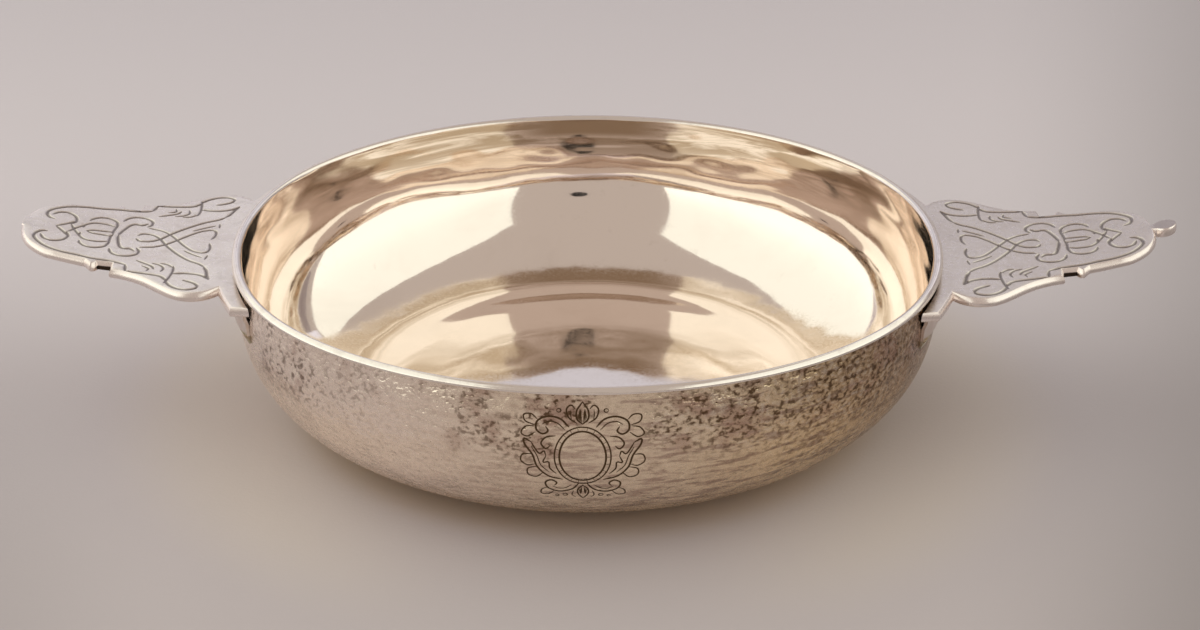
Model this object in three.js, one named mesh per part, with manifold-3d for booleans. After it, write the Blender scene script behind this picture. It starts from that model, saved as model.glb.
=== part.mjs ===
import * as THREE from 'three';
import { mergeVertices } from 'three/addons/utils/BufferGeometryUtils.js';
import Module from 'manifold-3d';

// Two-eared silver bowl (ecuelle), in millimetres, +Z up.
// The origin is the centre of the flat base. The ears point along +X and -X.

// Driving dimensions of the bowl
const rimRadius = 90; // outer edge of the rim wire
const bowlHeight = 45.6; // base to the top edge of the wall
const wallThickness = 1.3; // at the top edge
const lipHeight = 3; // straight part of the wall under its top edge
const baseRadius = 44; // where the flat base starts to curve up
const bellyHeight = 38; // base to the widest level of the belly
const bellyBulge = 0.4; // how far the belly swells past the lip
const bellyExponent = 2.5; // 2 is an elliptical belly, higher is fuller
const circleSteps = 96; // facets round the bowl

// Driving dimensions of the bowl's inside, which is thickest at the foot of the belly
const floorThickness = 1.6; // at the centre
const floorRise = 1.6; // the floor is a shallow dish, this much higher at its edge
const floorRadius = 52; // where the floor meets the belly
const insideBellyHeight = 34.5;
const insideBulge = 0.8;
const insideExponent = 2.2;

// Driving dimensions of the rim wire, which is soldered round the outside of the wall's edge
const rimWireWidth = 1.1;
const rimWireHeight = 1.4;
const rimWireFlatShare = 0.5; // share of its height that is flat and seats on the wall

// Driving dimensions of the ears
const earThickness = 2.3;
const earDrop = 1.9; // rim wire down to the ear's upper face at its root
const earTipRise = 5.8; // how far the ear curves up towards its tip
const rootHalfWidth = 41; // half the width where the ear meets the bowl
const rootBandWidth = 5.1; // curved band beside the bowl, out to the waist
const waistHalfWidth = 29.3;
const shoulderOffset = 7; // shoulder, measured out from the wall
const shoulderHalfWidth = 32.8;
const shoulderRound = 4; // how soon the waist's edge turns level at the shoulder
const taperLength = 21.5; // shoulder out to the side step
const taperEaseOut = 0.36; // shares of the taper where its edge runs nearly level
const taperEaseIn = 0.5;
const taperFlare = 0.6; // how far the edge still falls just before the step
const stepHalfWidth = 21.7;
const stepDepth = 3.9;
const stepSlant = 0.4; // lean of the step's side
const nickLength = 3.4; // slot between the step and the cusp
const cuspLength = 3.6;
const cuspHeight = 1.8;
const cuspFootDrop = 0.4; // the blade starts this much narrower than the nick
const bladeLength = 10; // cusp out to where the tip begins to round off
const bladeHalfWidth = 15.7;
const tipLength = 8.2;
const tipHalfWidth = 5.4; // blunt end of the blade
const tipFullness = 1.4; // how far back from the end the tip's curve is squared
const tipFall = 3.2;
const tipCrown = 0.7; // how far a plain tip bulges past its blunt end
const knobRadius = 3; // small round knob on one ear's tip
const knobNeckShare = 0.63; // width of the knob's neck as a share of the knob
const knobNeckLength = 0.3;

// Driving dimensions of the ears' seats on the bowl
const seatGap = 0.3; // solder gap between the wall and what sits on it
const cornerGap = 0.9; // how much further an ear's corners stand off the wall
const flangeThickness = 1.7;
const flangeHeight = 5.6; // wall flange under each ear
const flangeFootThickness = 1.2;
const filletHeight = 2; // solder fillet under the flange
const filletFootThickness = 0.4;

// Sizes that follow from the driving dimensions
const wallRadius = rimRadius - rimWireWidth;
const lipFoot = bowlHeight - lipHeight;
const earRootTop = bowlHeight - rimWireHeight - earDrop;
const flangeTop = earRootTop - earThickness;
const flangeFoot = flangeTop - flangeHeight;
const seatRadius = wallRadiusAt(flangeTop);
const rootAngle = Math.asin(rootHalfWidth / (seatRadius + seatGap));
const levelX = wallRadius + seatGap + cornerGap + flangeThickness; // the ear is level up to here
const shoulderX = wallRadius + shoulderOffset;
const stepX = shoulderX + taperLength;
const cuspX = stepX + nickLength;
const bladeX = cuspX + cuspLength;
const tipX = bladeX + bladeLength;
const earEndX = tipX + tipLength; // the tip without its crown or knob
const circleStep = (2 * Math.PI) / circleSteps;

const wasm = await Module();
wasm.setup();

// Quarter superellipse from the foot of a belly up to its widest level, as [radius, height] points.
function bellyCurve(foot, widest, exponent) {
  const steps = 14;
  const points = [];
  for (let i = 0; i <= steps; i += 1) {
    const angle = (i / steps) * (Math.PI / 2);
    const out = Math.sin(angle) ** (2 / exponent);
    const up = 1 - Math.cos(angle) ** (2 / exponent);
    points.push(new THREE.Vector2(foot.x + (widest.x - foot.x) * out, foot.y + (widest.y - foot.y) * up));
  }
  return points;
}

// The wall above a belly, which draws in to its top, as [radius, height] points.
function neckCurve(widest, top) {
  const steps = 3;
  const points = [];
  for (let i = 1; i <= steps; i += 1) {
    const rise = i / steps;
    points.push(new THREE.Vector2(neckRadius(widest, top, rise), widest.y + (top.y - widest.y) * rise));
  }
  return points;
}

function neckRadius(widest, top, rise) {
  return widest.x - (widest.x - top.x) * Math.min(1, rise) ** 1.5;
}

// Outer radius of the wall at a height above the base.
function wallRadiusAt(height) {
  const widest = new THREE.Vector2(wallRadius + bellyBulge, bellyHeight);
  if (height > bellyHeight) {
    const top = new THREE.Vector2(wallRadius, lipFoot);
    return neckRadius(widest, top, (height - bellyHeight) / (lipFoot - bellyHeight));
  }
  const depth = 1 - height / bellyHeight;
  const out = (1 - depth ** bellyExponent) ** (1 / bellyExponent);
  return baseRadius + (widest.x - baseRadius) * out;
}

// How far an ear's inner edge stands off the wall, at an angle from the ear's middle.
function standoff(angle) {
  return seatGap + cornerGap * (angle / rootAngle) ** 2;
}

// Turns a profile of [radius, height] points round the Z axis.
function turned(profile) {
  const geometry = new THREE.LatheGeometry(profile, circleSteps);
  geometry.rotateX(Math.PI / 2);
  return geometry;
}

// Joins equal loops of points into one closed body, with a flat cap at each end.
function lofted(loops) {
  const count = loops[0].length;
  const positions = loops.flat().flatMap((point) => [point.x, point.y, point.z]);
  const index = [];
  for (let i = 0; i + 1 < loops.length; i += 1) {
    for (let j = 0; j < count; j += 1) {
      const a = i * count + j;
      const b = i * count + ((j + 1) % count);
      index.push(a, b, b + count, a, b + count, a + count);
    }
  }
  const last = (loops.length - 1) * count;
  for (let j = 1; j + 1 < count; j += 1) {
    index.push(0, j + 1, j);
    index.push(last, last + j, last + j + 1);
  }
  const geometry = new THREE.BufferGeometry();
  geometry.setAttribute('position', new THREE.Float32BufferAttribute(positions, 3));
  geometry.setIndex(index);
  return geometry;
}

function toSolid(geometry) {
  const bare = geometry.clone();
  bare.deleteAttribute('normal');
  bare.deleteAttribute('uv');
  const merged = mergeVertices(bare, 1e-4);
  return new wasm.Manifold(
    new wasm.Mesh({
      numProp: 3,
      vertProperties: new Float32Array(merged.attributes.position.array),
      triVerts: new Uint32Array(merged.index.array),
    }),
  );
}

function toGeometry(solid) {
  const mesh = solid.getMesh();
  const geometry = new THREE.BufferGeometry();
  geometry.setAttribute('position', new THREE.BufferAttribute(mesh.vertProperties, 3));
  geometry.setIndex(new THREE.BufferAttribute(mesh.triVerts, 1));
  return geometry;
}

// The raised bowl: a flat base, a full belly and a wall that draws in to a straight lip.
function bowlGeometry() {
  const outside = [
    new THREE.Vector2(baseRadius, 0),
    new THREE.Vector2(wallRadius + bellyBulge, bellyHeight),
    new THREE.Vector2(wallRadius, lipFoot),
  ];
  const insideRadius = wallRadius - wallThickness;
  const inside = [
    new THREE.Vector2(floorRadius, floorThickness + floorRise),
    new THREE.Vector2(insideRadius + insideBulge, insideBellyHeight),
    new THREE.Vector2(insideRadius, bowlHeight),
  ];
  return turned([
    new THREE.Vector2(0, 0),
    ...bellyCurve(outside[0], outside[1], bellyExponent),
    ...neckCurve(outside[1], outside[2]),
    new THREE.Vector2(wallRadius, bowlHeight),
    ...neckCurve(inside[1], inside[2]).reverse(),
    ...bellyCurve(inside[0], inside[1], insideExponent).reverse(),
    ...floorCurve().reverse(),
  ]);
}

// The dished floor from the centre out to the foot of the belly.
function floorCurve() {
  const steps = 6;
  const points = [];
  for (let i = 0; i < steps; i += 1) {
    const out = i / steps;
    const rise = Math.sin((out * Math.PI) / 2) ** 2;
    points.push(new THREE.Vector2(floorRadius * out, floorThickness + floorRise * rise));
  }
  return points;
}

// The rim wire: a round wire with one flat side, which seats on the wall.
function rimWireGeometry() {
  const roundSteps = 8;
  const flatAngle = Math.asin(rimWireFlatShare);
  const halfWidth = rimWireWidth / (1 + Math.cos(flatAngle));
  const halfHeight = rimWireHeight / 2;
  const centreRadius = rimRadius - halfWidth;
  const centreHeight = bowlHeight - halfHeight;
  const turn = Math.PI - flatAngle;
  const profile = [];
  for (let i = 0; i <= roundSteps; i += 1) {
    const angle = -turn + (2 * turn * i) / roundSteps;
    const radius = centreRadius + halfWidth * Math.cos(angle);
    profile.push(new THREE.Vector2(radius, centreHeight + halfHeight * Math.sin(angle)));
  }
  profile[0].x = wallRadius;
  profile[roundSteps].x = wallRadius;
  profile.push(profile[0].clone());
  return turned(profile);
}

// Half outline of an ear from the bowl to its tip, as [distance, half width] points.
function earHalfOutline(hasKnob) {
  const curveSteps = 6;
  const rootX = (seatRadius + seatGap) * Math.cos(rootAngle);
  const bandRadius = wallRadius + rootBandWidth;
  const bandAngle = Math.asin(rootHalfWidth / bandRadius);
  const waistAngle = Math.asin(waistHalfWidth / bandRadius);
  const nickWidth = stepHalfWidth - stepDepth;
  const cuspWidth = nickWidth + cuspHeight;
  const edge = new THREE.Path();
  edge.moveTo(rootX - seatGap, rootHalfWidth);
  edge.lineTo(bandRadius * Math.cos(bandAngle), rootHalfWidth);
  edge.absarc(0, 0, bandRadius, bandAngle, waistAngle, true);
  edge.quadraticCurveTo(shoulderX - shoulderRound, shoulderHalfWidth, shoulderX, shoulderHalfWidth);
  edge.bezierCurveTo(
    shoulderX + taperLength * taperEaseOut, shoulderHalfWidth,
    stepX - taperLength * taperEaseIn, stepHalfWidth + taperFlare,
    stepX, stepHalfWidth,
  );
  edge.lineTo(stepX + stepSlant, nickWidth);
  edge.lineTo(cuspX, nickWidth);
  edge.quadraticCurveTo(cuspX + stepSlant, cuspWidth, cuspX + cuspLength / 2, cuspWidth);
  edge.lineTo(bladeX, nickWidth - cuspFootDrop);
  edge.lineTo(tipX, bladeHalfWidth);
  edge.quadraticCurveTo(earEndX - tipFullness, bladeHalfWidth - tipFall, earEndX, tipHalfWidth);
  if (hasKnob) {
    const knobX = earEndX + knobRadius;
    const neckAngle = Math.PI - Math.asin(knobNeckShare);
    const lastAngle = Math.PI / 12;
    edge.lineTo(earEndX + knobNeckLength, knobRadius * knobNeckShare);
    edge.absarc(knobX, 0, knobRadius, neckAngle, lastAngle, true);
  } else {
    const lastHalfWidth = tipHalfWidth / 8;
    edge.quadraticCurveTo(earEndX + tipCrown, tipHalfWidth / 2, earEndX + tipCrown, lastHalfWidth);
  }
  return edge.getPoints(curveSteps);
}

// One ear: a plate that leaves the bowl level and curves up towards its tip.
function earGeometry(hasKnob) {
  const outline = earHalfOutline(hasKnob);
  const bendStep = 3;
  const stations = [];
  for (let i = 0; i < outline.length; i += 1) {
    stations.push(outline[i]);
    const next = outline[i + 1];
    if (next) {
      const extra = Math.floor((next.x - outline[i].x) / bendStep);
      for (let j = 1; j <= extra; j += 1) {
        stations.push(outline[i].clone().lerp(next, j / (extra + 1)));
      }
    }
  }
  const loops = stations.map((station) => {
    const along = Math.max(0, (station.x - levelX) / (earEndX - levelX));
    const top = earRootTop + earTipRise * along ** 2;
    const bottom = top - earThickness;
    return [
      new THREE.Vector3(station.x, -station.y, bottom),
      new THREE.Vector3(station.x, station.y, bottom),
      new THREE.Vector3(station.x, station.y, top),
      new THREE.Vector3(station.x, -station.y, top),
    ];
  });
  return toGeometry(toSolid(lofted(loops)).subtract(toSolid(earSeatGeometry())));
}

// The space that an ear's concave inner edge leaves for the bowl, to past the ear's corners.
function earSeatGeometry() {
  const steps = Math.ceil(rootAngle / circleStep) + 1;
  const seat = new THREE.Shape();
  seat.moveTo(0, 0);
  for (let i = -steps; i <= steps; i += 1) {
    const angle = i * circleStep;
    const radius = seatRadius + standoff(angle);
    seat.lineTo(radius * Math.cos(angle), radius * Math.sin(angle));
  }
  seat.lineTo(0, 0);
  return new THREE.ExtrudeGeometry(seat, { depth: bowlHeight + earTipRise, bevelEnabled: false });
}

// A band round the wall under an ear's root. Its section at each angle is a loop of
// [distance off the wall, height] points.
function wallBandGeometry(sectionAt) {
  const steps = Math.floor(rootAngle / circleStep);
  const loops = [];
  for (let i = -steps; i <= steps; i += 1) {
    const angle = i * circleStep;
    loops.push(
      sectionAt(angle).map(([offset, height]) => {
        const radius = wallRadiusAt(height) + offset;
        return new THREE.Vector3(radius * Math.cos(angle), radius * Math.sin(angle), height);
      }),
    );
  }
  return lofted(loops);
}

// The flange under an ear: a curved strip that hugs the wall and carries the ear.
function flangeGeometry() {
  const heightSteps = 3;
  return wallBandGeometry((angle) => {
    const outside = [];
    const inside = [];
    for (let i = 0; i <= heightSteps; i += 1) {
      const down = i / heightSteps;
      const height = flangeTop + (flangeFoot - flangeTop) * down;
      const gap = standoff(angle) + (seatGap - standoff(angle)) * down;
      const thickness = flangeThickness + (flangeFootThickness - flangeThickness) * down;
      outside.push([gap + thickness, height]);
      inside.unshift([gap, height]);
    }
    return [...outside, ...inside];
  });
}

// The solder fillet along the flange's foot.
function filletGeometry() {
  return wallBandGeometry(() => [
    [seatGap + flangeFootThickness, flangeFoot],
    [seatGap + filletFootThickness, flangeFoot - filletHeight],
    [seatGap, flangeFoot - filletHeight],
    [seatGap, flangeFoot],
  ]);
}

function silver(color, roughness) {
  return new THREE.MeshStandardMaterial({ color, roughness, metalness: 1 });
}

function piece(name, geometry, material) {
  const mesh = new THREE.Mesh(geometry, material);
  mesh.name = name;
  return mesh;
}

function earGroup(side, turn, hasKnob) {
  const group = new THREE.Group();
  group.add(piece(`ear_${side}`, earGeometry(hasKnob), silver(0xc9c2bd, 0.32)));
  group.add(piece(`ear_flange_${side}`, flangeGeometry(), silver(0xb3a49a, 0.35)));
  group.add(piece(`ear_solder_${side}`, filletGeometry(), silver(0xaba897, 0.5)));
  group.rotation.z = turn;
  return group;
}

const ecuelle = new THREE.Group();
ecuelle.name = 'ecuelle';
ecuelle.add(piece('bowl', bowlGeometry(), silver(0xc8bdae, 0.22)));
ecuelle.add(piece('rim_wire', rimWireGeometry(), silver(0xdcd8d2, 0.18)));
ecuelle.add(earGroup('right', 0, true));
ecuelle.add(earGroup('left', Math.PI, false));

export default ecuelle;
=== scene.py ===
import math

import bmesh
import bpy
import numpy as np
from mathutils import Matrix, Vector
from mathutils.geometry import delaunay_2d_cdt


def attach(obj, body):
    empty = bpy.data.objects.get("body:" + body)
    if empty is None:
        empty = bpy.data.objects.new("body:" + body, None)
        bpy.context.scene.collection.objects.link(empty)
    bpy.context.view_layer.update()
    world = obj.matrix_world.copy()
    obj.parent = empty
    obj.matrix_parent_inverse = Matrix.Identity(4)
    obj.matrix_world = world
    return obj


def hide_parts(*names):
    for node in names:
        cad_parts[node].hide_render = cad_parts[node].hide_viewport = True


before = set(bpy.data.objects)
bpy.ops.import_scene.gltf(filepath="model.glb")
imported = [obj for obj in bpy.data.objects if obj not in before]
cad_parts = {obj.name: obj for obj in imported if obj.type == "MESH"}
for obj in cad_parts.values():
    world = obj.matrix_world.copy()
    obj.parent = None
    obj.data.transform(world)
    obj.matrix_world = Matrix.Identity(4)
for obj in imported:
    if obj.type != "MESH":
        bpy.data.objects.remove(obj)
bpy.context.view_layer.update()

# Looks of a two-eared silver bowl. Lengths in this script are millimetres until they go into a
# mesh. The bowl stands on z = 0 round the origin, its ears point along +X and -X.
MM = 0.001

# The CAD's dimensions that the looks repeat
RIM_RADIUS = 90.0
BOWL_HEIGHT = 45.6
WALL = 1.3
LIP_HEIGHT = 3.0
BASE_RADIUS = 44.0
BELLY_HEIGHT = 38.0
BELLY_BULGE = 0.4
BELLY_EXPONENT = 2.5
FLOOR_THICKNESS = 1.6
FLOOR_RISE = 1.6
FLOOR_RADIUS = 52.0
INSIDE_BELLY_HEIGHT = 34.5
INSIDE_BULGE = 0.8
INSIDE_EXPONENT = 2.2
RIM_WIRE_WIDTH = 1.1
RIM_WIRE_HEIGHT = 1.4
EAR_THICKNESS = 2.3
EAR_DROP = 1.9
EAR_TIP_RISE = 5.8
ROOT_HALF_WIDTH = 41.0
EAR_END = 142.6
SEAT_GAP = 0.3
CORNER_GAP = 0.9
FLANGE_THICKNESS = 1.7
FLANGE_HEIGHT = 5.6
FLANGE_FOOT_THICKNESS = 1.2
FILLET_HEIGHT = 2.0
FILLET_FOOT_THICKNESS = 0.4
FLANGE_REACH = 7 * math.pi / 48

WALL_RADIUS = RIM_RADIUS - RIM_WIRE_WIDTH
LIP_FOOT = BOWL_HEIGHT - LIP_HEIGHT
EAR_ROOT_TOP = BOWL_HEIGHT - RIM_WIRE_HEIGHT - EAR_DROP
FLANGE_TOP = EAR_ROOT_TOP - EAR_THICKNESS
FLANGE_FOOT = FLANGE_TOP - FLANGE_HEIGHT
LEVEL_X = WALL_RADIUS + SEAT_GAP + CORNER_GAP + FLANGE_THICKNESS

# Steps round the bowl, and how far in and down the rounded inner lip goes
TURN_STEPS = 720
LIP_ROUND = (1.15, 0.9)


def wall_radius_at(height):
    widest = WALL_RADIUS + BELLY_BULGE
    if height > BELLY_HEIGHT:
        rise = min(1.0, (height - BELLY_HEIGHT) / (LIP_FOOT - BELLY_HEIGHT))
        return widest - BELLY_BULGE * rise**1.5
    depth = 1 - max(0.0, height) / BELLY_HEIGHT
    out = (1 - depth**BELLY_EXPONENT) ** (1 / BELLY_EXPONENT)
    return BASE_RADIUS + (widest - BASE_RADIUS) * out


SEAT_RADIUS = wall_radius_at(FLANGE_TOP)
ROOT_ANGLE = math.asin(ROOT_HALF_WIDTH / (SEAT_RADIUS + SEAT_GAP))

# The bowl is beaten by hand. How far its rim stands out of the true circle, by degrees
RIM_SHIFT = (
    (0, -0.9), (15, -0.8), (27, -0.2), (45, -0.5), (90, -0.9), (135, -0.6), (153, -0.1),
    (165, -0.7), (180, -1.0), (190, -0.8), (200, -0.1), (210, 0.6), (220, 0.7), (230, 0.4),
    (240, 0.1), (250, 0.0), (270, -0.1), (290, 0.2), (300, 0.5), (310, 0.9), (320, 1.0),
    (330, 1.0), (340, 0.4), (350, -0.5),
)
# How many degrees the inside leans more upright in mid wall, by degrees round the bowl. Up to 151
# a fit to the edges that the photo's bowl mirrors gave them, and it gave the next two as well
WALL_LEAN = (
    (0, 0.0), (15, 0.0), (29, 1.0), (32, 1.5), (37, 0.0), (46, 0.3), (54, -0.7), (62, 2.1),
    (74, 0.6), (84, -1.6), (94, -0.5), (101, -0.3), (105, 0.4), (112, 2.2), (119, -0.6),
    (126, -3.1), (134, -3.2), (142, -1.4), (147, 1.2), (151, 2.3), (165, 0.0), (200, 0.8),
    (235, -1.0), (260, 0.7), (290, -0.9), (325, 0.8),
)
# How many degrees steeper the beaten floor rises than the CAD's, by distance from the middle, and
# how many degrees the whole floor tips down towards the front
FLOOR_SLOPE = (
    (0, 0.0), (8, -0.25), (16, -2.01), (24, -2.34), (32, -0.66), (40, -2.23), (48, 0.92),
    (56, -3.82), (64, 4.29), (72, -2.6), (82, 0.0),
)
FLOOR_TILT = 0.74
# The height of the middle of the wall's lean and how far up and down it fades
LEAN_HEIGHT = 26.5
LEAN_REACH = 9.0
# Ripples of the upper wall, as [turns round the bowl, wavelength up the wall, height, start]
UPPER_RIPPLES = (
    (7, 9.0, 0.045, 0.3), (-11, 7.2, 0.032, 1.9), (19, 11.5, 0.035, 4.1), (-26, 6.1, 0.020, 2.7),
    (37, 8.3, 0.016, 5.2), (-47, 13.0, 0.016, 0.9),
)


def round_bowl(table, angle, blur):
    """Values of a table of [degrees, value] at angles in radians, smoothed by blur degrees."""
    degrees = np.arange(0, 360, 0.5)
    even = np.interp(degrees, *zip(*table), period=360)
    away = (degrees + 180) % 360 - 180
    weight = np.exp(-((away / blur) ** 2) / 2)
    smooth = np.fft.irfft(np.fft.rfft(even) * np.fft.rfft(weight / weight.sum()), len(even))
    return np.interp(np.degrees(angle) % 360, degrees, smooth, period=360)


def smooth_step(value, low, high):
    share = np.clip((value - low) / (high - low), 0, 1)
    return share**2 * (3 - 2 * share)


def rim_shift(angle, height):
    rise = 0.6 * smooth_step(height, 8, 38) + 0.4 * smooth_step(height, 38, 45)
    return round_bowl(RIM_SHIFT, angle, 4.0) * rise


def wall_shift(angle, height):
    """How far mid-wall waves push the inside outward."""
    away = height - LEAN_HEIGHT
    wave = 6 * np.sin(away / 6) * np.exp(-((away / LEAN_REACH) ** 2))
    lean = -np.tan(np.radians(round_bowl(WALL_LEAN, angle, 2.5))) * wave
    ripple = sum(
        size * np.sin(turns * angle + height * 2 * math.pi / length + start)
        for turns, length, size, start in UPPER_RIPPLES
    )
    return lean + ripple * smooth_step(height, 28, 36)


def floor_lift(radius):
    even = np.linspace(0, 82, 329)
    slope = np.radians(np.interp(even, *zip(*FLOOR_SLOPE)))
    lift = np.concatenate([[0], np.cumsum((slope[1:] + slope[:-1]) / 2)]) * even[1]
    return np.interp(radius, even, lift - lift[-1])


def floor_tilt(points):
    """How far the tilt lowers points of the inside."""
    radius = np.hypot(points[:, 0], points[:, 1])
    low = points[:, 2] < 30
    drop = np.maximum(0, 48 - points[:, 1]) * (1 - smooth_step(radius, 40, 84)) * low
    return math.radians(FLOOR_TILT) * drop


def pushed_out(points, shift):
    """Points moved away from the Z axis by a shift each."""
    radius = np.hypot(points[:, 0], points[:, 1])
    moved = points.copy()
    moved[:, :2] *= (1 + shift / np.maximum(radius, 1))[:, None]
    return moved


def angle_of(points):
    return np.arctan2(points[:, 1], points[:, 0])


def beaten(points, share=1.0):
    """Points of a true round moved as the rim is, or by a share of that."""
    return pushed_out(points, rim_shift(angle_of(points), points[:, 2]) * share)


# Node helpers


class Nodes:
    """A short way to write a node tree."""

    def __init__(self, tree):
        self.tree = tree
        tree.nodes.clear()

    def add(self, kind, *inputs, sockets=None, **settings):
        """A node with its settings, its first inputs in order and other inputs by name."""
        node = self.tree.nodes.new(kind)
        for key, value in settings.items():
            setattr(node, key, value)
        for index, value in enumerate(inputs):
            self.put(node.inputs[index], value)
        for key, value in (sockets or {}).items():
            self.put(node.inputs[key], value)
        return node

    def put(self, socket, value):
        if isinstance(value, bpy.types.NodeSocket):
            self.tree.links.new(value, socket)
        elif value is not None:
            socket.default_value = value

    def math(self, operation, *inputs):
        return self.add("ShaderNodeMath", *inputs, operation=operation).outputs[0]

    def times(self, first, *others):
        for other in others:
            first = self.math("MULTIPLY", first, other)
        return first

    def most(self, first, *others):
        for other in others:
            first = self.math("MAXIMUM", first, other)
        return first

    def noise(self, place, scale, detail, rough, warp=0.0):
        named = {"Vector": place, "Scale": scale, "Detail": detail, "Roughness": rough}
        node = self.add("ShaderNodeTexNoise", sockets={**named, "Distortion": warp})
        return node.outputs["Fac"]

    def cells(self, place, scale, smooth):
        named = {"Vector": place, "Scale": scale, "Smoothness": smooth}
        node = self.add("ShaderNodeTexVoronoi", feature="SMOOTH_F1", sockets=named)
        return node.outputs["Distance"]

    def axis(self, place, name):
        return self.add("ShaderNodeSeparateXYZ", place).outputs[name]

    def length(self, place):
        return self.add("ShaderNodeVectorMath", place, operation="LENGTH").outputs["Value"]

    def stretch(self, place, x, y, z):
        node = self.add("ShaderNodeVectorMath", place, (x, y, z), operation="MULTIPLY")
        return node.outputs[0]

    def band(self, value, low, high, start=0.0, end=1.0):
        """Goes smoothly from start to end as the value goes from low to high."""
        node = self.add("ShaderNodeMapRange", interpolation_type="SMOOTHSTEP")
        for socket, number in zip(node.inputs, (value, low, high, start, end)):
            self.put(socket, number)
        return node.outputs[0]

    def mix(self, share, first, second):
        named = {"Factor": share, "A": first, "B": second}
        node = self.add("ShaderNodeMix", data_type="RGBA", sockets=named)
        return node.outputs["Result"]

    def bump(self, height, strength, distance, normal=None):
        named = {"Height": height, "Strength": strength, "Distance": distance, "Normal": normal}
        return self.add("ShaderNodeBump", sockets=named).outputs["Normal"]


def new_material(name):
    made = bpy.data.materials.new(name)
    made.use_nodes = True
    return made, Nodes(made.node_tree)


def material(name, paint):
    """A material whose principled shader gets the sockets that paint(nodes) returns."""
    made, nodes = new_material(name)
    shader = nodes.add("ShaderNodeBsdfPrincipled", sockets=paint(nodes))
    nodes.add("ShaderNodeOutputMaterial", shader.outputs[0])
    return made


def metal(colour, roughness, normal):
    return {"Base Color": colour, "Metallic": 1.0, "Roughness": roughness, "Normal": normal}


def rgb(red, green, blue):
    return (red, green, blue, 1.0)


def place_of(nodes):
    return nodes.add("ShaderNodeTexCoord").outputs["Object"]


def patina_and_shade_of(nodes):
    return nodes.add("ShaderNodeAttribute", attribute_name="patina_and_shade").outputs["Fac"]


# Metal. Lengths in a paint function are metres, as the mesh has them

MIRROR = rgb(0.98, 0.885, 0.81)
TARNISH = rgb(0.43, 0.33, 0.235)
VIOLET = rgb(0.62, 0.53, 0.50)
SKIN_MIDDLE = rgb(0.92, 0.78, 0.61)
SKIN_LEFT = rgb(1.0, 0.87, 0.77)
# The right side's colours are painted reflected shade, darkest at its end
SKIN_RIGHT_LOW_SHADE = rgb(0.81, 0.60, 0.35)
SKIN_RIGHT_HIGH_SHADE = rgb(0.67, 0.47, 0.25)
SKIN_RIGHT_END_SHADE = rgb(0.36, 0.24, 0.17)
STAIN_LEFT = rgb(0.60, 0.46, 0.37)
# A stain on the right, darkened by the same painted reflected shade
STAIN_RIGHT_SHADE = rgb(0.33, 0.22, 0.13)
PIT = rgb(0.13, 0.075, 0.038)
# Painted highlight round the pits
PIT_RING_HIGHLIGHT = rgb(1.0, 0.90, 0.76)
ROSY = rgb(0.42, 0.25, 0.19)
# Painted contact shadow at the foot
FOOT_CONTACT_SHADOW = rgb(0.50, 0.31, 0.06)
BOWL_CUT = rgb(0.10, 0.062, 0.03)
RIM_SILVER = rgb(0.92, 0.85, 0.79)
EAR_SILVER = rgb(0.84, 0.775, 0.735)
EAR_SCUFF = rgb(0.55, 0.50, 0.46)
# Painted shade of the right ear
EAR_RIGHT_SHADE = rgb(0.62, 0.55, 0.50)
KNOB_TOP = rgb(0.46, 0.40, 0.38)
EAR_CUT = rgb(0.26, 0.225, 0.215)
EDGE_SILVER = rgb(0.93, 0.84, 0.80)
# Painted shadow in an ear's nick
NICK_SHADOW = rgb(0.05, 0.035, 0.025)
FLANGE_PALE = rgb(0.82, 0.74, 0.68)
FLANGE_DARK = rgb(0.74, 0.60, 0.52)
SOLDER_GREY = rgb(0.55, 0.53, 0.43)


def paint_inside(nodes):
    """A mirror with soft stains. Tarnish streaks its upper wall, least at its two ends."""
    place = place_of(nodes)
    height = nodes.axis(place, "Z")
    aside = nodes.math("ABSOLUTE", nodes.axis(place, "X"))
    cloud = nodes.band(nodes.noise(place, 28, 4, 0.6, 0.6), 0.45, 0.75)
    speck = nodes.band(nodes.noise(place, 260, 3, 0.6), 0.62, 0.8)
    stain = nodes.times(nodes.most(cloud, speck), 0.12)
    upper = nodes.band(height, 0.027, 0.040)
    streaks = nodes.noise(nodes.stretch(place, 24, 24, 260), 1.0, 5, 0.65, 0.8)
    streaks = nodes.band(streaks, 0.38, 0.58, 0.15, 0.95)
    streaks = nodes.times(upper, streaks, nodes.band(aside, 0.060, 0.086, 1.0, 0.4))
    crown = nodes.times(nodes.band(aside, 0.032, 0.010), nodes.band(height, 0.0375, 0.041))
    colour = nodes.mix(nodes.most(stain, streaks, crown), MIRROR, TARNISH)
    scratch = nodes.band(nodes.noise(place, 1500, 2, 0.6), 0.3, 0.8, 0.04, 0.10)
    rough = nodes.math("ADD", scratch, nodes.times(upper, 0.045))
    return metal(colour, rough, nodes.bump(nodes.cells(place, 190, 1.0), 0.02, 0.001))


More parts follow.
